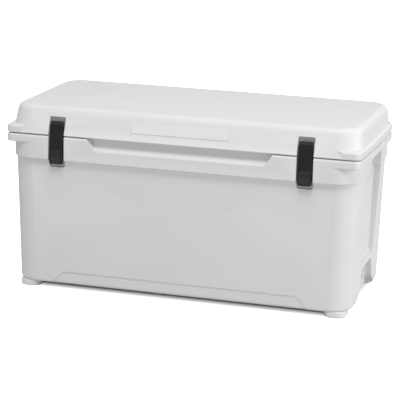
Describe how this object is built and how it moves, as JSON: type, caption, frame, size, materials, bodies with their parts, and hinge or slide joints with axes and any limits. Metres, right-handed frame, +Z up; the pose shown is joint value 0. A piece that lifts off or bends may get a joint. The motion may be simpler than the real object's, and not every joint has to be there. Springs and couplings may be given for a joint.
{
  "type": "cooler chest",
  "caption": "Large insulated cooler chest: double-walled tub and hinged lid with a gasket, pull-down front latches, moulded end handles, a screw-out drain plug and foot pads",
  "frame": {"origin": "on the ground under the middle of the chest's overall footprint, level with the undersides of the feet", "axes": "+X runs along the chest's length to its right-hand end, where the drain is; +Y points from the latch side to the hinge side; +Z is up"},
  "size_m": [0.945, 0.4718, 0.4856],
  "materials": {
    "white_polyethylene": "rotomoulded, fine orange-peel texture",
    "foam": "closed-cell polyurethane foam",
    "white_plastic": "injection moulded, satin",
    "foot_plastic": "moulded, satin",
    "gasket_rubber": "soft extruded rubber, matt",
    "latch_rubber": "moulded black rubber, satin",
    "nylon": "natural nylon",
    "stainless_steel": "drawn stainless rod"
  },
  "bodies": {
    "tub": {"tub_shell": "white_polyethylene", "tub_foam": "foam", "tub_foam_plugs": "white_plastic", "left_hinge_pin": "stainless_steel", "right_hinge_pin": "stainless_steel", "hinge_pin_caps": "white_plastic", "drain_fitting": "white_plastic", "drain_fitting_washer": "gasket_rubber", "drain_nut": "white_plastic", "front_left_foot": "foot_plastic", "front_right_foot": "foot_plastic", "rear_left_foot": "foot_plastic", "rear_right_foot": "foot_plastic", "foot_screws": "stainless_steel"},
    "lid": {"lid_shell": "white_polyethylene", "lid_foam": "foam", "lid_foam_plugs": "white_plastic", "lid_gasket": "gasket_rubber", "left_hinge_bushes": "nylon", "right_hinge_bushes": "nylon", "left_latch_pin": "stainless_steel", "right_latch_pin": "stainless_steel"},
    "left_latch": {"left_latch_strap": "latch_rubber"},
    "right_latch": {"right_latch_strap": "latch_rubber"},
    "drain_seal": {"drain_plug_gasket": "gasket_rubber"},
    "drain_plug": {"drain_plug": "white_plastic"}
  },
  "joints": [
    {"name": "lid_hinge", "type": "hinge", "parent": "tub", "child": "lid", "pos_m": [0, 0.221, 0.405], "axis": [-1, 0, 0], "range_deg": [0, 105]},
    {"name": "left_latch_swing", "type": "hinge", "parent": "lid", "child": "left_latch", "pos_m": [-0.3285, -0.2175, 0.441], "axis": [-1, 0, 0], "range_deg": [0, 120], "deforming": ["left_latch_strap"]},
    {"name": "right_latch_swing", "type": "hinge", "parent": "lid", "child": "right_latch", "pos_m": [0.3285, -0.2175, 0.441], "axis": [-1, 0, 0], "range_deg": [0, 120], "deforming": ["right_latch_strap"]},
    {"name": "drain_plug_travel", "type": "slide", "parent": "tub", "child": "drain_seal", "axis": [1, 0, 0], "range_m": [0, 0.0121]},
    {"name": "drain_plug_turn", "type": "hinge", "parent": "drain_seal", "child": "drain_plug", "pos_m": [0.43, -0.0075, 0.072], "axis": [1, 0, 0], "range_deg": [0, 1080]}
  ],
  "couplings": [
    {"joint": "drain_plug_travel", "follows": "drain_plug_turn", "m_per_rad": 0.00063662}
  ]
}
